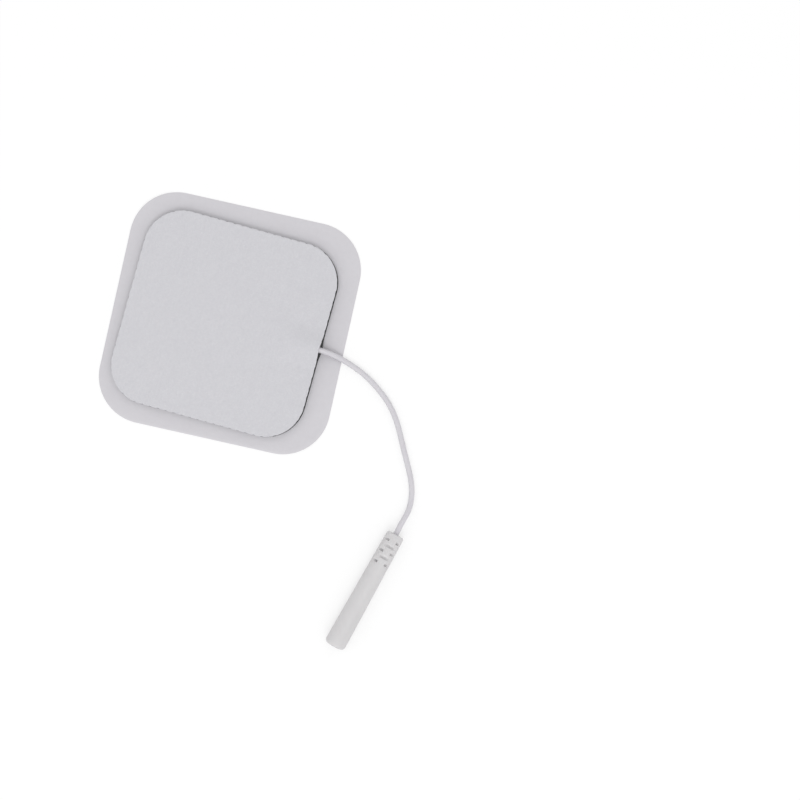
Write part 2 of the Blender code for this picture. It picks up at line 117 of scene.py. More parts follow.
LEAD_IN_PLUG = 10.0 * MM


class Shading:
    """A socket of a material's nodes. A sum or product of sockets adds its Math node."""

    def __init__(self, tree, socket=None):
        self.tree = tree
        self.socket = socket

    def node(self, kind, settings=None, sockets=None, output=0):
        """Add a node with its settings, fill its sockets and give one of its outputs."""
        made = self.tree.nodes.new(kind)
        for name, value in (settings or {}).items():
            setattr(made, name, value)
        for name, value in (sockets or {}).items():
            fill_socket(self.tree, made.inputs[name], value)
        return Shading(self.tree, made.outputs[output])

    def math(self, operation, *others):
        values = dict(enumerate((self, *others)))
        return self.node("ShaderNodeMath", {"operation": operation}, values)

    def __add__(self, other):
        return self.math("ADD", other)

    def __sub__(self, other):
        return self.math("SUBTRACT", other)

    def __rsub__(self, other):
        return self * -1.0 + other

    def __mul__(self, other):
        return self.math("MULTIPLY", other)

    __radd__ = __add__
    __rmul__ = __mul__


def fill_socket(tree, socket, value):
    """Link a socket to another one, or set its number, vector or colour."""
    if isinstance(value, Shading):
        tree.links.new(value.socket, socket)
    elif socket.type == "RGBA" and len(value) == 3:
        socket.default_value = (*value, 1.0)
    else:
        socket.default_value = value


def new_material(name):
    """A material with its Principled shader, and the start of its nodes."""
    material = bpy.data.materials.new(name)
    material.use_nodes = True
    return material, Shading(material.node_tree)


def set_shader(material, sockets):
    """Fill sockets of a material's Principled shader."""
    shader = material.node_tree.nodes["Principled BSDF"]
    for name, value in sockets.items():
        fill_socket(material.node_tree, shader.inputs[name], value)


def object_place(start):
    """Place on the part, in metres."""
    return start.node("ShaderNodeTexCoord", output="Object")


def cloud(start, place, size, detail=2.0, roughness=0.5):
    """Soft noise from 0 to 1, with blotches of about the given size."""
    sockets = {"Vector": place, "Scale": 1.0 / size, "Detail": detail, "Roughness": roughness}
    return start.node("ShaderNodeTexNoise", None, sockets)


def blend_colors(start, factor, first, second):
    """Mix two colours."""
    return start.node("ShaderNodeMix", {"data_type": "RGBA"}, {0: factor, 6: first, 7: second}, 2)


def bumped(start, height, distance, strength=1.0):
    """Normal of a surface with small relief of the given depth."""
    sockets = {"Height": height, "Distance": distance, "Strength": strength}
    return start.node("ShaderNodeBump", None, sockets)


def new_piece(name, data, material):
    """Put a finished shape in the scene, on the part's one body, with its finish."""
    piece = bpy.data.objects.new(name, data)
    bpy.context.scene.collection.objects.link(piece)
    data.materials.append(material)
    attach(piece, "root")
    return piece


def smooth(t):
    """Go from 0 to 1 with level ends as t goes from 0 to 1."""
    t = min(max(t, 0.0), 1.0)
    return t * t * (3.0 - 2.0 * t)


def lead_height(x, y):
    """Height of the lead's middle where it sinks to the liner and then to the table."""
    sunk = smooth((x - EXIT_X) / EXIT_SINK_RUN)
    past_liner = x * math.cos(LINER_TURN) + y * math.sin(LINER_TURN) - LINER_SIDE / 2
    off_liner = smooth(past_liner / LINER_SINK_RUN)
    to_plug = math.hypot(x - PLUG_END.x, y - PLUG_END.y)
    height = LEAD_ON_FLOOR_Z
    height += (LEAD_IN_PAD_Z - LEAD_ON_LINER_Z) * (1.0 - sunk)
    height += (LEAD_ON_LINER_Z - LEAD_ON_FLOOR_Z) * (1.0 - off_liner)
    height += (PLUG_END.z - LEAD_ON_FLOOR_Z) * smooth(1.0 - to_plug / PLUG_CLIMB_RUN)
    return height


def spline_through(points, spacing):
    """Even steps along a natural cubic spline through the given points."""
    points = np.array(points, dtype=float)
    chords = np.linalg.norm(np.diff(points, axis=0), axis=1)
    knots = np.concatenate(([0.0], np.cumsum(chords)))
    count = len(points)
    system = np.eye(count)
    load = np.zeros_like(points)
    for i in range(1, count - 1):
        system[i, i - 1:i + 2] = chords[i - 1], 2.0 * (chords[i - 1] + chords[i]), chords[i]
        after = (points[i + 1] - points[i]) / chords[i]
        before = (points[i] - points[i - 1]) / chords[i - 1]
        load[i] = 6.0 * (after - before)
    bend = np.linalg.solve(system, load)
    result = []
    for t in np.linspace(0.0, knots[-1], round(knots[-1] / spacing) + 1):
        i = min(int(np.searchsorted(knots, t, side="right")) - 1, count - 2)
        a = (knots[i + 1] - t) / chords[i]
        b = 1.0 - a
        straight = a * points[i] + b * points[i + 1]
        curved = (a ** 3 - a) * bend[i] + (b ** 3 - b) * bend[i + 1]
        result.append(tuple(straight + curved * chords[i] ** 2 / 6.0))
    return result


lead_points = [(EXIT_X - LEAD_TUCK, EXIT_Y, LEAD_IN_PAD_Z)]
for along, across in LEAD_ROUTE:
    x = EXIT_X + along * MM
    y = EXIT_Y + across * MM
    lead_points.append((x, y, lead_height(x, y)))
for share in (0.0, 0.35, 0.7, 1.0):
    lead_points.append(tuple(PLUG_END + PLUG_DIRECTION * LEAD_IN_PLUG * share))

lead_curve = bpy.data.curves.new("lead", "CURVE")
lead_curve.dimensions = "3D"
lead_curve.bevel_depth = LEAD_DIAMETER / 2
lead_curve.bevel_resolution = 6
lead_curve.use_fill_caps = True
lead_line = spline_through(lead_points, LEAD_STEP)
lead_spline = lead_curve.splines.new("POLY")
lead_spline.points.add(len(lead_line) - 1)
for point, place in zip(lead_spline.points, lead_line):
    point.co = (*place, 1.0)
lead_spline.use_smooth = True

lead_pvc, start = new_material("lead_pvc")
place = object_place(start)
handled = cloud(start, place, 6.0 * MM)
grain = cloud(start, place, 0.12 * MM, 3.0)
set_shader(lead_pvc, {
    "Base Color": blend_colors(start, handled, (0.626, 0.608, 0.644), (0.676, 0.664, 0.694)),
    "Roughness": 0.36 + 0.14 * handled,
    "Subsurface Weight": 0.35,
    "Subsurface Radius": (1.0, 0.95, 0.95),
    "Subsurface Scale": 0.5 * MM,
    "Normal": bumped(start, grain + 2.0 * handled, 0.008 * MM),
})
lead = new_piece("lead", lead_curve, lead_pvc)
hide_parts("lead_wire")


# Plug: soft white PVC, moulded over the lead's end and the contact in a two-part mould.
# Rows of slots in both halves let its cable end bend, by turns two deep ones and one
# shallow one. The mould's parting line runs along both sides, where a web is left.
MOUTH_DIAMETER = 5.4 * MM
SHOULDER_DIAMETER = 4.6 * MM
SHOULDER_LENGTH = 0.5 * MM
CABLE_END_DIAMETER = 3.6 * MM
MOUTH_ROUND = 1.0 * MM
LIP_DIAMETER = 2.3 * MM
LIP_CHAMFER = 0.12 * MM
PLUG_CLEARANCE = 0.1 * MM
CONTACT_FRONT = 31.1 * MM
SOCKET_DIAMETER = 2.8 * MM
SOCKET_BACK = 16.1 * MM
CRIMP_DIAMETER = 2.2 * MM
CONTACT_BACK = 10.6 * MM
SLOT_ROWS = 5
SLOT_FIRST = 1.9 * MM
SLOT_PITCH = 1.53 * MM
SLOT_WIDTH = 0.6 * MM
SLOT_RIB = 1.9 * MM
SLOT_WEB = 2.2 * MM
SHALLOW_SLOT_DEPTH = 0.5 * MM
SLOT_EDGE_ROUND = 0.09 * MM
PARTING_RIDGE = 0.035 * MM
PARTING_REACH = 0.01 * MM
TURN_STEPS = 72
MERGE_DISTANCE = 0.001 * MM
CUT_ANGLE = math.radians(50.0)
SHARP_ANGLE = math.radians(40.0)
plug_place = Matrix.Translation(PLUG_END) @ (
    PLUG_DIRECTION.to_track_quat("Z", "Y") @ Quaternion((0.0, 0.0, 1.0), PLUG_ROLL)
).to_matrix().to_4x4()


def arc(middle, radius, first, last, steps):
    """Points of an arc as (across, along) pairs, between two angles in degrees."""
    points = []
    for step in range(steps + 1):
        angle = math.radians(first + (last - first) * step / steps)
        across = middle[0] + radius[0] * math.cos(angle)
        points.append((across, middle[1] + radius[1] * math.sin(angle)))
    return points


def turned(profile, closed):
    """Turn a profile of (radius, height) points about Z into one closed surface."""
    body = bmesh.new()
    verts = [body.verts.new((radius, 0.0, height)) for radius, height in profile]
    edges = [body.edges.new(pair) for pair in zip(verts, verts[1:])]
    if closed:
        edges.append(body.edges.new((verts[-1], verts[0])))
    bmesh.ops.spin(
        body,
        geom=verts + edges,
        cent=(0.0, 0.0, 0.0),
        axis=(0.0, 0.0, 1.0),
        angle=math.radians(360.0),
        steps=TURN_STEPS,
        use_merge=True,
    )
    bmesh.ops.remove_doubles(body, verts=body.verts, dist=MERGE_DISTANCE)
    bmesh.ops.recalc_face_normals(body, faces=body.faces)
    return body


def add_block(body, low, high):
    """Add a block between two corners to a cutter."""
    low = Vector(low)
    high = Vector(high)
    place = Matrix.Translation((low + high) / 2) @ Matrix.Diagonal((*(high - low), 1.0))
    bmesh.ops.create_cube(body, size=1.0, matrix=place)


def cut_and_rounded(name, body, cutter_body, edge_round, place):
    """Cut a body with a cutter, round the cut's edges and put the mesh in its place."""
    objects = []
    for part_name, shape in ((name, body), (f"{name}_cutter", cutter_body)):
        mesh = bpy.data.meshes.new(part_name)
        shape.to_mesh(mesh)
        shape.free()
        made = bpy.data.objects.new(part_name, mesh)
        bpy.context.scene.collection.objects.link(made)
        objects.append(made)
    cut = objects[0].modifiers.new("cut", "BOOLEAN")
    cut.operation = "DIFFERENCE"
    cut.solver = "EXACT"
    cut.object = objects[1]
    rounding = objects[0].modifiers.new("rounding", "BEVEL")
    rounding.width = edge_round
    rounding.segments = 2
    rounding.limit_method = "ANGLE"
    rounding.angle_limit = CUT_ANGLE
    depsgraph = bpy.context.evaluated_depsgraph_get()
    finished = bpy.data.meshes.new_from_object(objects[0].evaluated_get(depsgraph))
    for made in objects:
        bpy.data.objects.remove(made, do_unlink=True)
    finished.transform(place)
    finished.shade_smooth()
    finished.set_sharp_from_angle(angle=SHARP_ANGLE)
    return finished


mouth_radius = MOUTH_DIAMETER / 2
narrowing = (SHOULDER_DIAMETER - CABLE_END_DIAMETER) / 2
taper = (MOUTH_DIAMETER - SHOULDER_DIAMETER) / 2 / (PLUG_LENGTH - SHOULDER_LENGTH)
bore = LEAD_DIAMETER / 2 + PLUG_CLEARANCE
round_start = PLUG_LENGTH - MOUTH_ROUND
plug_profile = [(LIP_DIAMETER / 2, PLUG_LENGTH - LIP_CHAMFER)]
plug_profile.append((LIP_DIAMETER / 2 + LIP_CHAMFER, PLUG_LENGTH))
mouth_middle = (mouth_radius - MOUTH_ROUND * (1.0 + taper), round_start)
plug_profile += arc(mouth_middle, (MOUTH_ROUND, MOUTH_ROUND), 90.0, 0.0, 8)
for height in np.linspace(round_start, SHOULDER_LENGTH, 14)[1:-1]:
    plug_profile.append((SHOULDER_DIAMETER / 2 + taper * (height - SHOULDER_LENGTH), height))
shoulder_middle = (CABLE_END_DIAMETER / 2, SHOULDER_LENGTH)
plug_profile += arc(shoulder_middle, (narrowing, -SHOULDER_LENGTH), 0.0, 90.0, 8)
plug_profile += [
    (bore, 0.0),
    (bore, CONTACT_BACK - PLUG_CLEARANCE),
    (CRIMP_DIAMETER / 2 + PLUG_CLEARANCE, CONTACT_BACK - PLUG_CLEARANCE),
    (CRIMP_DIAMETER / 2 + PLUG_CLEARANCE, SOCKET_BACK - PLUG_CLEARANCE),
    (SOCKET_DIAMETER / 2 + PLUG_CLEARANCE, SOCKET_BACK - PLUG_CLEARANCE),
    (SOCKET_DIAMETER / 2 + PLUG_CLEARANCE, CONTACT_FRONT + PLUG_CLEARANCE),
    (LIP_DIAMETER / 2, CONTACT_FRONT + PLUG_CLEARANCE),
]
plug_bmesh = turned(plug_profile, True)
for vertex in plug_bmesh.verts:
    radius = math.hypot(vertex.co.x, vertex.co.y)
    on_side = abs(vertex.co.y) < PARTING_REACH
    if on_side and radius > CABLE_END_DIAMETER / 2 and SHOULDER_LENGTH < vertex.co.z < round_start:
        vertex.co.x *= 1.0 + PARTING_RIDGE / radius

slots = bmesh.new()
for row in range(SLOT_ROWS):
    low_z = SLOT_FIRST + row * SLOT_PITCH - SLOT_WIDTH / 2
    shallow_floor = SHOULDER_DIAMETER / 2 + taper * (low_z - SHOULDER_LENGTH) - SHALLOW_SLOT_DEPTH
    for half in (-1, 1):
        floor = shallow_floor
        spans = [(-MOUTH_DIAMETER, MOUTH_DIAMETER)]
        if row % 2 == (half < 0):
            floor = SLOT_WEB / 2
            spans = [(-MOUTH_DIAMETER, -SLOT_RIB / 2), (SLOT_RIB / 2, MOUTH_DIAMETER)]
        near, far = sorted((half * floor, half * MOUTH_DIAMETER))
        for left, right in spans:
            add_block(slots, (left, near, low_z), (right, far, low_z + SLOT_WIDTH))

plug_pvc, start = new_material("plug_pvc")
place = object_place(start)
handled = cloud(start, place, 4.0 * MM)
spark = cloud(start, place, 0.10 * MM, 4.0, 0.6)
set_shader(plug_pvc, {
    "Base Color": blend_colors(start, handled, (0.63, 0.62, 0.63), (0.675, 0.665, 0.67)),
    "Roughness": 0.40 + 0.12 * handled + 0.10 * spark,
    "Subsurface Weight": 0.60,
    "Subsurface Radius": (1.0, 0.95, 0.95),
    "Subsurface Scale": 1.1 * MM,
    "Normal": bumped(start, spark + 3.0 * handled, 0.012 * MM),
})
plug_mesh = cut_and_rounded("plug", plug_bmesh, slots, SLOT_EDGE_ROUND, plug_place)
plug = new_piece("plug", plug_mesh, plug_pvc)
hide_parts("plug_body")


# Socket contact: turned brass with a bright nickel plate, for a 2 mm pin. One long slit
# makes it springy, and its barrel is crimped on the stripped end of the lead's core.
PIN_RADIUS = 1.0 * MM
PIN_FLOOR = 18.1 * MM
SLIT_WIDTH = 0.3 * MM
SLIT_LENGTH = 9.0 * MM
CRIMP_BORE = 0.4 * MM
CRIMP_FLOOR = 15.1 * MM
CRIMP_DENT_DEPTH = 0.3 * MM
CRIMP_DENT_LENGTH = 2.0 * MM
BARREL_SHOULDER = 1.0 * MM
PIN_LEAD_IN = 0.15 * MM
CONTACT_CHAMFER = 0.08 * MM
CONTACT_EDGE_ROUND = 0.04 * MM

contact_bmesh = turned([
    (0.0, PIN_FLOOR),
    (PIN_RADIUS, PIN_FLOOR),
    (PIN_RADIUS, CONTACT_FRONT - PIN_LEAD_IN),
    (PIN_RADIUS + PIN_LEAD_IN, CONTACT_FRONT),
    (SOCKET_DIAMETER / 2 - CONTACT_CHAMFER, CONTACT_FRONT),
    (SOCKET_DIAMETER / 2, CONTACT_FRONT - CONTACT_CHAMFER),
    (SOCKET_DIAMETER / 2, SOCKET_BACK),
    (CRIMP_DIAMETER / 2, SOCKET_BACK),
    (CRIMP_DIAMETER / 2, CONTACT_BACK),
    (CRIMP_BORE, CONTACT_BACK),
    (CRIMP_BORE, CRIMP_FLOOR),
    (0.0, CRIMP_FLOOR),
], False)
tools = bmesh.new()
add_block(
    tools,
    (0.0, -SLIT_WIDTH / 2, CONTACT_FRONT - SLIT_LENGTH),
    (SOCKET_DIAMETER, SLIT_WIDTH / 2, CONTACT_FRONT + SOCKET_DIAMETER),
)
barrel_length = SOCKET_BACK - BARREL_SHOULDER - CONTACT_BACK
dent_low = CONTACT_BACK + (barrel_length - CRIMP_DENT_LENGTH) / 2
for side in (-1, 1):
    near, far = sorted((side * (CRIMP_DIAMETER / 2 - CRIMP_DENT_DEPTH), side * CRIMP_DIAMETER))
    add_block(
        tools,
        (-CRIMP_DIAMETER, near, dent_low),
        (CRIMP_DIAMETER, far, dent_low + CRIMP_DENT_LENGTH),
    )

plated_brass, start = new_material("plated_brass")
place = object_place(start)
tarnish = cloud(start, place, 1.5 * MM, 3.0)
set_shader(plated_brass, {
    "Base Color": blend_colors(start, tarnish, (0.70, 0.67, 0.60), (0.80, 0.78, 0.74)),
    "Metallic": 1.0,
    "Roughness": 0.16 + 0.16 * tarnish,
    "Normal": bumped(start, cloud(start, place, 0.08 * MM, 3.0), 0.002 * MM),
})
contact_mesh = cut_and_rounded("contact", contact_bmesh, tools, CONTACT_EDGE_ROUND, plug_place)
contact = new_piece("contact", contact_mesh, plated_brass)
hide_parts("socket_contact")


# Core and strands: fine tinned copper. The core's stripped end sits in the crimp barrel.
# At the pad its strands are spread as a fan on the carbon film, under the fabric.
STRAND_COUNT = 7

tinned_copper, start = new_material("tinned_copper")
place = object_place(start)
dull = cloud(start, place, 0.8 * MM, 3.0)
set_shader(tinned_copper, {
    "Base Color": blend_colors(start, dull, (0.66, 0.63, 0.60), (0.76, 0.74, 0.71)),
    "Metallic": 1.0,
    "Roughness": 0.26 + 0.18 * dull,
    "Normal": bumped(start, cloud(start, place, 0.06 * MM), 0.003 * MM),
})
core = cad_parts["core_stub"]
strands = [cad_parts[f"lead_strand_{number + 1}"] for number in range(STRAND_COUNT)]
for wire in (core, *strands):
    for material_slot in wire.material_slots:
        material_slot.material = tinned_copper


# Release liner: a milky polyester film with a silicone coat, die-cut wider than the pad
# and laid under it by hand. It lies flat, and its free corners stand up a little.
LINER_CORNER = 12.0 * MM
LINER_THICKNESS = 0.15 * MM
LINER_CELLS = 74
LINER_EDGE_ROUND = 0.03 * MM
RIM_ANGLE = math.radians(60.0)
RIM_SEGMENTS = 3
CORNER_LIFT = 0.35 * MM
LIFT_START = 0.80 * LINER_SIDE
LIFT_RUN = 0.08 * LINER_SIDE
LIFT_LIMIT = 1.5
HELD_CORNER_SHARE = 0.45


def die_cut(across, along, side, corner):
    """Place in a square with round corners for a place in a square from -1 to 1."""
    ring = max(abs(across), abs(along))
    if ring == 0.0:
        return 0.0, 0.0
    straight = side / 2 - corner
    on_edge = min(abs(across), abs(along)) / ring * (straight + corner * math.pi / 4)
    far, near = side / 2, on_edge
    if on_edge > straight:
        angle = (on_edge - straight) / corner
        far = straight + corner * math.cos(angle)
        near = straight + corner * math.sin(angle)
    x, y = (far, near) if abs(across) >= abs(along) else (near, far)
    return math.copysign(x * ring, across), math.copysign(y * ring, along)


def rim_rounded(name, body, edge_round):
    """Turn a flat piece's faces outward and round its rims. The result is its mesh."""
    bmesh.ops.recalc_face_normals(body, faces=body.faces)
    rim = [edge for edge in body.edges if edge.calc_face_angle(0.0) > RIM_ANGLE]
    bmesh.ops.bevel(
        body,
        geom=rim,
        offset=edge_round,
        affect="EDGES",
        segments=RIM_SEGMENTS,
        profile=0.5,
        material=-1,
        clamp_overlap=True,
    )
    mesh = bpy.data.meshes.new(name)
    body.to_mesh(mesh)
    body.free()
    mesh.shade_smooth()
    return mesh


def cut_sheet(name, cells, side, corner, lower, upper, edge_round):
    """A thin die-cut sheet between two surfaces given as heights over (x, y)."""
    body = bmesh.new()
    bmesh.ops.create_grid(body, x_segments=cells, y_segments=cells, size=1.0)
    for vertex in body.verts:
        x, y = die_cut(vertex.co.x, vertex.co.y, side, corner)
        vertex.co = (x, y, lower(x, y))
    raised = bmesh.ops.extrude_face_region(body, geom=body.faces[:])["geom"]
    for vertex in raised:
        if isinstance(vertex, bmesh.types.BMVert):
            vertex.co.z = upper(vertex.co.x, vertex.co.y)
    return rim_rounded(name, body, edge_round)


def liner_lift(x, y):
    """Height that the liner stands off the table near its free corners."""
    out = max(abs(x) + abs(y) - LIFT_START, 0.0) / LIFT_RUN
    share = 1.0 if x * y < 0.0 else HELD_CORNER_SHARE
    return CORNER_LIFT * share * (min(out, LIFT_LIMIT) / LIFT_LIMIT) ** 2


def liner_top(x, y):
    """Height of the liner's upper face."""
    return LINER_THICKNESS + liner_lift(x, y)


liner_film, start = new_material("liner_film")
place = object_place(start)
smear = cloud(start, place, 14.0 * MM, 3.0)
milk = cloud(start, place, 1.2 * MM, 4.0, 0.6)
haze = 0.7 * smear + 0.3 * milk
set_shader(liner_film, {
    "Base Color": blend_colors(start, haze, (0.635, 0.618, 0.652), (0.675, 0.663, 0.692)),
    "Roughness": 0.24 + 0.16 * smear,
    "Alpha": 0.94 + 0.05 * milk,
    "Normal": bumped(start, smear + 0.04 * milk, 0.25 * MM),
})
liner_mesh = cut_sheet(
    "liner", LINER_CELLS, LINER_SIDE, LINER_CORNER, liner_lift, liner_top, LINER_EDGE_ROUND
)
liner_mesh.transform(Matrix.Rotation(LINER_TURN, 4, "Z"))
liner = new_piece("liner", liner_mesh, liner_film)
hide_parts("release_liner")


# Gel: two layers of clear, tacky hydrogel, poured on both sides of an open carrier net
# and cut with the pad. The cut edges bulge a little and are wet and glossy. The gel's grey,
# darker than a clear gel's, is painted shade that deepens the dark band along the pad's edges.
PAD_CORNER = 10.0 * MM
GEL_LOWER_Z = 0.20 * MM
GEL_LOWER_THICKNESS = 0.50 * MM
GEL_UPPER_Z = 0.90 * MM
GEL_UPPER_THICKNESS = 0.30 * MM
GEL_LOWER_BULGE = 0.16 * MM
GEL_UPPER_BULGE = 0.10 * MM
CORNER_SEGMENTS = 28
pad_place = Matrix.Translation((PAD_OFFSET_X, PAD_OFFSET_Y, 0.0))


def layer(name, bottom, thickness, edge_round):
    """A flat layer of the pad, cut to its outline, with rounded edges."""
    body = bmesh.new()
    bmesh.ops.create_grid(body, x_segments=1, y_segments=1, size=PAD_SIDE / 2)
    bmesh.ops.translate(body, verts=body.verts, vec=(0.0, 0.0, bottom))
    bmesh.ops.bevel(
        body,
        geom=body.verts[:],
        offset=PAD_CORNER,
        affect="VERTICES",
        segments=CORNER_SEGMENTS,
        profile=0.5,
        material=-1,
    )
    raised = bmesh.ops.extrude_face_region(body, geom=body.faces[:])["geom"]
    top = [item for item in raised if isinstance(item, bmesh.types.BMVert)]
    bmesh.ops.translate(body, verts=top, vec=(0.0, 0.0, thickness))
    mesh = rim_rounded(name, body, edge_round)
    mesh.transform(pad_place)
    mesh.set_sharp_from_angle(angle=SHARP_ANGLE)
    return mesh


hydrogel, start = new_material("hydrogel")
place = object_place(start)
ripple = cloud(start, place, 1.6 * MM, 3.0)
# Painted shade: the gel's grey is darker than a clear gel's, to deepen the dark band along the
# pad's edges.
set_shader(hydrogel, {
    "Base Color": blend_colors(start, ripple, (0.50, 0.53, 0.54), (0.60, 0.63, 0.63)),
    "Roughness": 0.08 + 0.10 * ripple,
    "Alpha": 0.60 + 0.15 * ripple,
    "IOR": 1.38,
    "Normal": bumped(start, ripple, 0.03 * MM),
})
gel_lower_mesh = layer("lower_gel", GEL_LOWER_Z, GEL_LOWER_THICKNESS, GEL_LOWER_BULGE)
gel_lower = new_piece("lower_gel", gel_lower_mesh, hydrogel)
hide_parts("gel_lower")
gel_upper_mesh = layer("upper_gel", GEL_UPPER_Z, GEL_UPPER_THICKNESS, GEL_UPPER_BULGE)
gel_upper = new_piece("upper_gel", gel_upper_mesh, hydrogel)
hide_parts("gel_upper")


# Carrier net: white polyester threads, bonded where they cross. It was laid in the gel
# while that was poured, and keeps its two layers together.
scrim_fibre, start = new_material("scrim_fibre")
place = object_place(start)
threads = cloud(start, place, 0.10 * MM, 4.0, 0.6)
set_shader(scrim_fibre, {
    "Base Color": blend_colors(start, threads, (0.68, 0.68, 0.68), (0.80, 0.80, 0.79)),
    "Roughness": 0.62 + 0.18 * threads,
    "Normal": bumped(start, threads, 0.02 * MM),
})
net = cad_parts["gel_scrim"]
for material_slot in net.material_slots:
    material_slot.material = scrim_fibre


# Carbon film: black conductive rubber film, satin, which spreads the current over the
# gel. Only its cut edge shows, as a dark line on the lead's side of the pad and as two small
# wedges beside the lead. There the film is pushed out past the fabric, so that its black is
# partly its own edge and partly painted shade for the shadowed gap under the fabric's edge.
FILM_Z = 1.25 * MM
FILM_THICKNESS = 0.12 * MM
FILM_CELLS = 64
FILM_EDGE_ROUND = 0.02 * MM
FILM_OUT_AS_SHADE_LINE = 0.18 * MM
FILM_OUT_AS_SHADE_WEDGE = 0.30 * MM
RIM_WIDTH = 1.6 * MM
LEAD_SIDE_RUN = PAD_SIDE / 4
WEDGE_HALF_WIDTH = 3.2 * MM


def from_edge(x, y):
    """How far a point of the pad lies inside its outline."""
    straight = PAD_SIDE / 2 - PAD_CORNER
    past_x, past_y = abs(x) - straight, abs(y) - straight
    outward = math.hypot(max(past_x, 0.0), max(past_y, 0.0)) + min(max(past_x, past_y), 0.0)
    return PAD_CORNER - outward


def on_rim(x, y):
    """Rise from 0 inside the pad to 1 at its outline."""
    return smooth(1.0 - from_edge(x, y) / RIM_WIDTH)


def on_lead_side(x):
    """Rise to 1 at the side where the lead leaves, from 0 a quarter of the pad before it."""
    return smooth((x - PAD_SIDE / 2 + LEAD_SIDE_RUN) / LEAD_SIDE_RUN)


def bell(t):
    """Fall from 1 at t = 0 to 0 at t = 1 on either side, along a cosine."""
    return 0.5 * (1.0 + math.cos(math.pi * min(abs(t), 1.0)))


def beside_lead(x, y):
    """Rise to 1 at the lead's exit, from 0 further along that side."""
    return on_rim(x, y) * on_lead_side(x) * bell(y / WEDGE_HALF_WIDTH)


carbon, start = new_material("carbon_film")
place = object_place(start)
matt = cloud(start, place, 0.5 * MM, 4.0, 0.6)
set_shader(carbon, {
    "Base Color": blend_colors(start, matt, (0.014, 0.014, 0.016), (0.032, 0.032, 0.034)),
    "Roughness": 0.42 + 0.18 * matt,
    "Normal": bumped(start, matt, 0.01 * MM),
})
film_mesh = cut_sheet(
    "film",
    FILM_CELLS,
    PAD_SIDE,
    PAD_CORNER,
    lambda x, y: FILM_Z,
    lambda x, y: FILM_Z + FILM_THICKNESS,
    FILM_EDGE_ROUND,
)
# Painted shade: the film is pushed out on the lead's side and beside the lead, so its black shows
# past the fabric's edge as a dark line and wedges.
for vertex in film_mesh.vertices:
    x, y = vertex.co.x, vertex.co.y
    vertex.co.x += FILM_OUT_AS_SHADE_LINE * on_rim(x, y) * on_lead_side(x) + FILM_OUT_AS_SHADE_WEDGE * beside_lead(x, y)
film_mesh.transform(pad_place)
film = new_piece("film", film_mesh, carbon)
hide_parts("carbon_film")


# Backing fabric: white nonwoven of fine polyester fibres, point-bonded by a hot roller in
# a staggered pattern, die-cut with the pad. It is raised over the lead's end. Its edge is
# drawn back on the lead's side and beside the lead to bare the black film: painted shade
# that stands for the shadowed gap under the fabric's edge.
FABRIC_THICKNESS = 0.45 * MM
FABRIC_CELLS = 190
FABRIC_EDGE_ROUND = 0.11 * MM
TENT_HALF_WIDTH = 6.0 * MM
TENT_RUN_OUT = 12.0 * MM
FABRIC_BACK_AS_SHADE_WEDGE = 0.20 * MM
BLISTER_RISE = 0.20 * MM
BLISTER_MARGIN = 0.7 * MM
BLISTER_SOFT = 4.0 * MM
STRAND_LENGTH = 20.0 * MM
STRAND_SPREAD = 2.0 * MM
STRAND_PITCH = 0.17 * MM
LAYER_GAP = 0.05 * MM
BOND_PITCH_X = PAD_SIDE / 24
BOND_PITCH_Y = PAD_SIDE / 20
BOND_DEPTH = 0.040 * MM
BOND_START = 0.15
BOND_FULL = 0.85
BOND_NOTCH = 0.07 * MM
LOFT_SIZE = 0.9 * MM
LOFT_DEPTH = 0.010 * MM
MELT_START = 0.36
MELT_FULL = 0.60
FIBRE_SPACING = 0.24 * MM
FIBRE_STRETCH = 4.0
FIBRE_FINENESS = 24.0
FIBRE_TURNS = (0.2, 0.9, 1.6, 2.5)
FABRIC_BACK_AS_SHADE_LINE = 0.09 * MM
EDGE_CURL = 0.10 * MM


def fan_half_width(beyond):
    """Half the width of the fan of strands, at a distance from the jacket's end."""
    opened = smooth(beyond / STRAND_LENGTH)
    return (STRAND_PITCH + (STRAND_SPREAD - STRAND_PITCH) * opened) * (STRAND_COUNT - 1) / 2


def fabric_lower(x, y):
    """Underside of the fabric, raised over the lead's end and over the strands."""
    inside = PAD_SIDE / 2 - x
    beyond = inside - LEAD_TUCK
    tent = (LEAD_DIAMETER + LAYER_GAP) * bell(y / TENT_HALF_WIDTH)
    tent *= bell(max(beyond, 0.0) / TENT_RUN_OUT)
    past_side = abs(y) - fan_half_width(beyond) - BLISTER_MARGIN
    past_end = beyond - STRAND_LENGTH - BLISTER_MARGIN
    blister = BLISTER_RISE * bell(max(past_side, 0.0) / BLISTER_SOFT)
    blister *= bell(max(past_end, 0.0) / BLISTER_SOFT)
    curl = EDGE_CURL * on_lead_side(x) * on_rim(x, y)
    return FABRIC_Z + math.hypot(tent, blister) + curl


def bond_press(x, y):
    """How far the roller pressed the fabric down, from 0 between its points to 1 on them."""
    wave = math.cos(2.0 * math.pi * x / BOND_PITCH_X) * math.cos(2.0 * math.pi * y / BOND_PITCH_Y)
    return smooth((wave - BOND_START) / (BOND_FULL - BOND_START))


def fabric_upper(x, y):
    """Top of the fabric, with its bonding points and the loft between them."""
    loft = LOFT_DEPTH * noise.noise(Vector((x, y, 0.0)) / LOFT_SIZE)
    return fabric_lower(x, y) + FABRIC_THICKNESS + loft - BOND_DEPTH * bond_press(x, y)


def fibre_web(start, place, turn):
    """Thin curled fibres, from 0 to 1: the ridges of a noise stretched along one direction."""
    lay = {
        "Vector": place,
        "Location": (0.0, 0.0, turn * MM),
        "Rotation": (0.0, 0.0, turn),
        "Scale": (FIBRE_STRETCH, 1.0, 1.0),
    }
    along_fibre = start.node("ShaderNodeMapping", {"vector_type": "TEXTURE"}, lay)
    off_ridge = (cloud(start, along_fibre, FIBRE_SPACING, 1.0) - 0.5).math("ABSOLUTE")
    return (1.0 - FIBRE_FINENESS * off_ridge).math("MAXIMUM", 0.0)


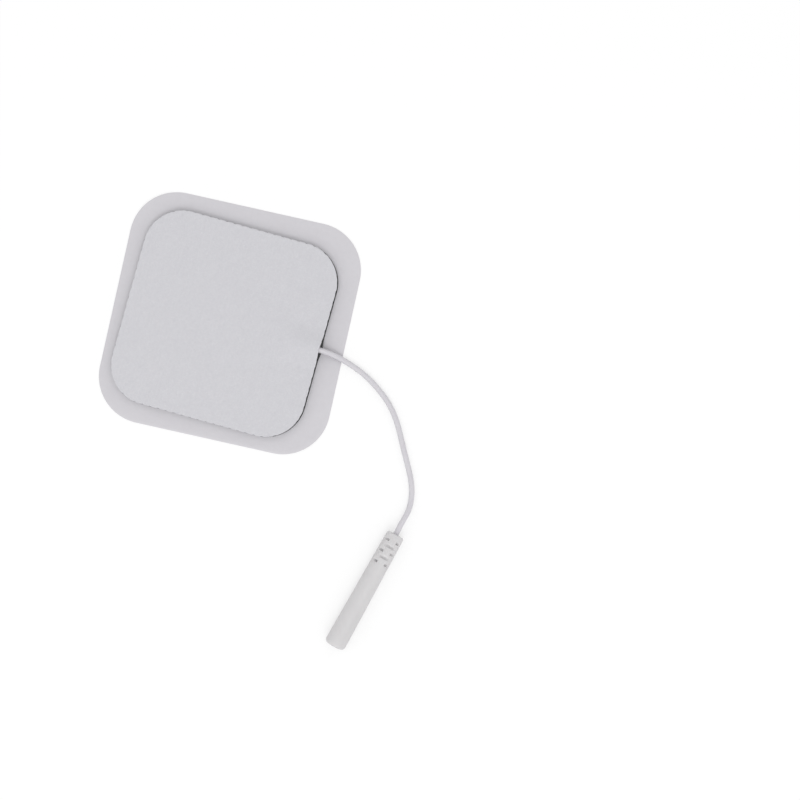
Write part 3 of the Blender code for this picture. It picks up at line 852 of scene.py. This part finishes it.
nonwoven, start = new_material("nonwoven_fabric")
place = object_place(start)
tuft_lay = start.node("ShaderNodeMapping", None, {"Vector": place, "Scale": (1.0, 0.22, 1.0)})
tufts = cloud(start, tuft_lay, 0.55 * MM, 2.0)
loft = cloud(start, place, 2.5 * MM, 2.0)
place_x = start.node("ShaderNodeSeparateXYZ", None, {0: place}, "X")
place_y = start.node("ShaderNodeSeparateXYZ", None, {0: place}, "Y")
wave_x = ((place_x - PAD_OFFSET_X) * (2.0 * math.pi / BOND_PITCH_X)).math("COSINE")
wave_y = ((place_y - PAD_OFFSET_Y) * (2.0 * math.pi / BOND_PITCH_Y)).math("COSINE")
melted = start.node(
    "ShaderNodeMapRange",
    {"interpolation_type": "SMOOTHSTEP"},
    {"Value": wave_x * wave_y, "From Min": MELT_START, "From Max": MELT_FULL},
)
fibres = 0.0
for turn in FIBRE_TURNS:
    fibres = fibre_web(start, place, turn) + fibres
fibres = fibres * (1.0 - 0.8 * melted)
shade = 0.35 + 0.22 * fibres + 0.125 * loft + 0.165 * tufts - 0.030 * melted
set_shader(nonwoven, {
    "Base Color": blend_colors(start, shade, (0.568, 0.564, 0.601), (0.708, 0.704, 0.731)),
    "Roughness": 0.92 - 0.20 * melted,
    "Sheen Weight": 0.15,
    "Sheen Roughness": 0.6,
    "Subsurface Weight": 0.3,
    "Subsurface Radius": (1.0, 1.0, 1.0),
    "Subsurface Scale": 0.25 * MM,
    "Normal": bumped(start, 0.7 * fibres + 2.0 * tufts, 0.03 * MM, 0.6),
})

fabric_mesh = cut_sheet(
    "fabric", FABRIC_CELLS, PAD_SIDE, PAD_CORNER, fabric_lower, fabric_upper, FABRIC_EDGE_ROUND
)
# Painted shade: the edge is drawn back on the lead's side and beside the lead, so the black film
# shows as a dark line and wedges.
for vertex in fabric_mesh.vertices:
    x, y = vertex.co.x, vertex.co.y
    notch = BOND_NOTCH * bond_press(x, y) * on_rim(x, y) / (PAD_SIDE / 2)
    drawn_in = FABRIC_BACK_AS_SHADE_LINE * on_rim(x, y) * on_lead_side(x) + FABRIC_BACK_AS_SHADE_WEDGE * beside_lead(x, y)
    vertex.co.x -= drawn_in + notch * x
    vertex.co.y -= notch * y
fabric_mesh.transform(pad_place)
fabric = new_piece("fabric", fabric_mesh, nonwoven)
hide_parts("backing_fabric")


# Table and light: a plain white table, an even white surround and one large soft lamp
# on the plug's side, so that a colour comes out about as it is written.
TABLE_Z = -0.02 * MM
TABLE_RADIUS = 3.0
SURROUND_LEVEL = 0.84
LAMP_LEVEL = 0.18
LAMP_DISTANCE = 0.9
LAMP_SIZE = 0.6
LAMP_ELEVATION = math.radians(60.0)
LAMP_FROM = VIEW_TURN + math.radians(270.0)
GLOW_LEVEL = 1.02
GLOW_SHARE = 0.5


def seen_by_view(start):
    """1 where a ray comes from the camera, or by way of metal or glass, and 0 in the light."""
    rays = start.node("ShaderNodeLightPath").socket.node.outputs
    seen = Shading(start.tree, rays["Is Camera Ray"])
    for kind in ("Is Glossy Ray", "Is Transmission Ray"):
        seen = seen.math("MAXIMUM", Shading(start.tree, rays[kind]))
    return seen


table_body = bmesh.new()
bmesh.ops.create_circle(table_body, cap_ends=True, segments=96, radius=TABLE_RADIUS)
bmesh.ops.translate(table_body, verts=table_body.verts, vec=(0.0, 0.0, TABLE_Z))
table_mesh = bpy.data.meshes.new("table")
table_body.to_mesh(table_mesh)
table_body.free()
table = bpy.data.objects.new("table", table_mesh)
bpy.context.scene.collection.objects.link(table)
table_white, start = new_material("table_white")
seen = seen_by_view(start)
set_shader(table_white, {
    "Base Color": blend_colors(start, seen, (0.78, 0.78, 0.78), (1.0, 1.0, 1.0)),
    "Roughness": 1.0,
    "Specular IOR Level": 0.0,
})
glow = start.node("ShaderNodeEmission", None, {"Color": (1.0, 1.0, 1.0), "Strength": GLOW_LEVEL})
shader = table_white.node_tree.nodes["Principled BSDF"].outputs[0]
mixed = start.node("ShaderNodeMixShader", None, {
    0: GLOW_SHARE * seen,
    1: Shading(start.tree, shader),
    2: glow,
})
output = table_white.node_tree.nodes["Material Output"]
table_white.node_tree.links.new(mixed.socket, output.inputs["Surface"])
table_mesh.materials.append(table_white)

world = bpy.data.worlds.new("surround")
world.use_nodes = True
bpy.context.scene.world = world
seen = seen_by_view(Shading(world.node_tree))
background = world.node_tree.nodes["Background"]
strength = SURROUND_LEVEL + (1.0 - SURROUND_LEVEL) * seen
fill_socket(world.node_tree, background.inputs["Color"], (1.0, 1.0, 1.0))
fill_socket(world.node_tree, background.inputs["Strength"], strength)

lamp_data = bpy.data.lights.new("lamp", "AREA")
lamp_data.shape = "DISK"
lamp_data.size = LAMP_SIZE
lamp_data.energy = LAMP_LEVEL * math.pi * LAMP_DISTANCE ** 2 * math.pi / math.sin(LAMP_ELEVATION)
lamp = bpy.data.objects.new("lamp", lamp_data)
lamp_way = Vector((
    math.cos(LAMP_ELEVATION) * math.cos(LAMP_FROM),
    math.cos(LAMP_ELEVATION) * math.sin(LAMP_FROM),
    math.sin(LAMP_ELEVATION),
))
lamp.location = lamp_way * LAMP_DISTANCE
lamp.rotation_euler = lamp_way.to_track_quat("Z", "Y").to_euler()
bpy.context.scene.collection.objects.link(lamp)
